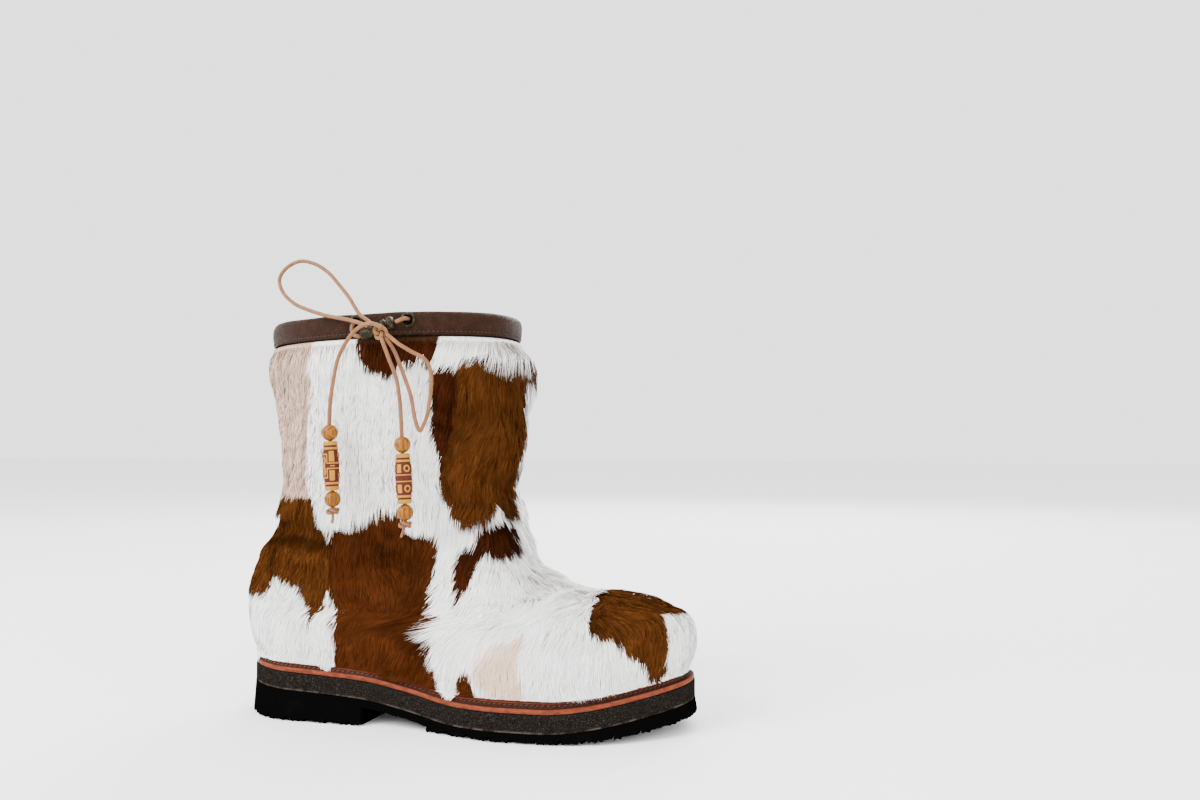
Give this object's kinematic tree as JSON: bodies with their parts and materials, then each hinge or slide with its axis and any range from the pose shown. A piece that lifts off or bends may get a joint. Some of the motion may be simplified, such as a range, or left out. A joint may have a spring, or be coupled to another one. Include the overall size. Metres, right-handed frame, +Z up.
{
  "type": "mukluk boot",
  "caption": "Ankle-high fur boot for the right foot: hollow hide upper, leather collar band with a tied, beaded draw cord, welt, thick midsole and lugged rubber sole.",
  "frame": {"origin": "on the floor plane, under the middle of the heel's tread", "axes": "+X runs forward to the toe, +Y to the inner side of the foot, +Z up out of the collar"},
  "size_m": [0.3046, 0.1423, 0.2897],
  "materials": {
    "rubber": "matt black moulded rubber",
    "midsole": "dull speckled grey-brown cork and rubber sheet",
    "welt_leather": "waxed tan leather with a dark stitched groove",
    "insole_board": "plain leather board",
    "fur_hide": "white, beige and brown hide with the hair on",
    "band_leather": "soft grained brown leather with a low sheen",
    "antique_brass": "dark antique finish, bright on its edges",
    "cord": "smooth round tan cord",
    "round_bead": "polished golden, with a fine upright grain",
    "carved_bead": "glossy golden, its sunk pattern red-brown"
  },
  "bodies": {
    "root": {"outsole": "rubber", "midsole": "midsole", "welt": "welt_leather", "insole": "insole_board", "upper": "fur_hide", "collar_binding": "band_leather", "eyelet_back": "antique_brass", "eyelet_front": "antique_brass", "cord_lock": "antique_brass", "draw_cord_back": "cord", "draw_cord_front": "cord", "bow_loop_upper": "cord", "bow_loop_lower": "cord", "bow_knot": "cord", "cord_end_back": "cord", "cord_end_front": "cord", "end_knot_back": "cord", "end_knot_front": "cord", "bead_back_top": "round_bead", "bead_back_barrel": "carved_bead", "bead_back_low": "round_bead", "bead_front_top": "round_bead", "bead_front_barrel": "carved_bead", "bead_front_low": "round_bead"}
  },
  "joints": []
}
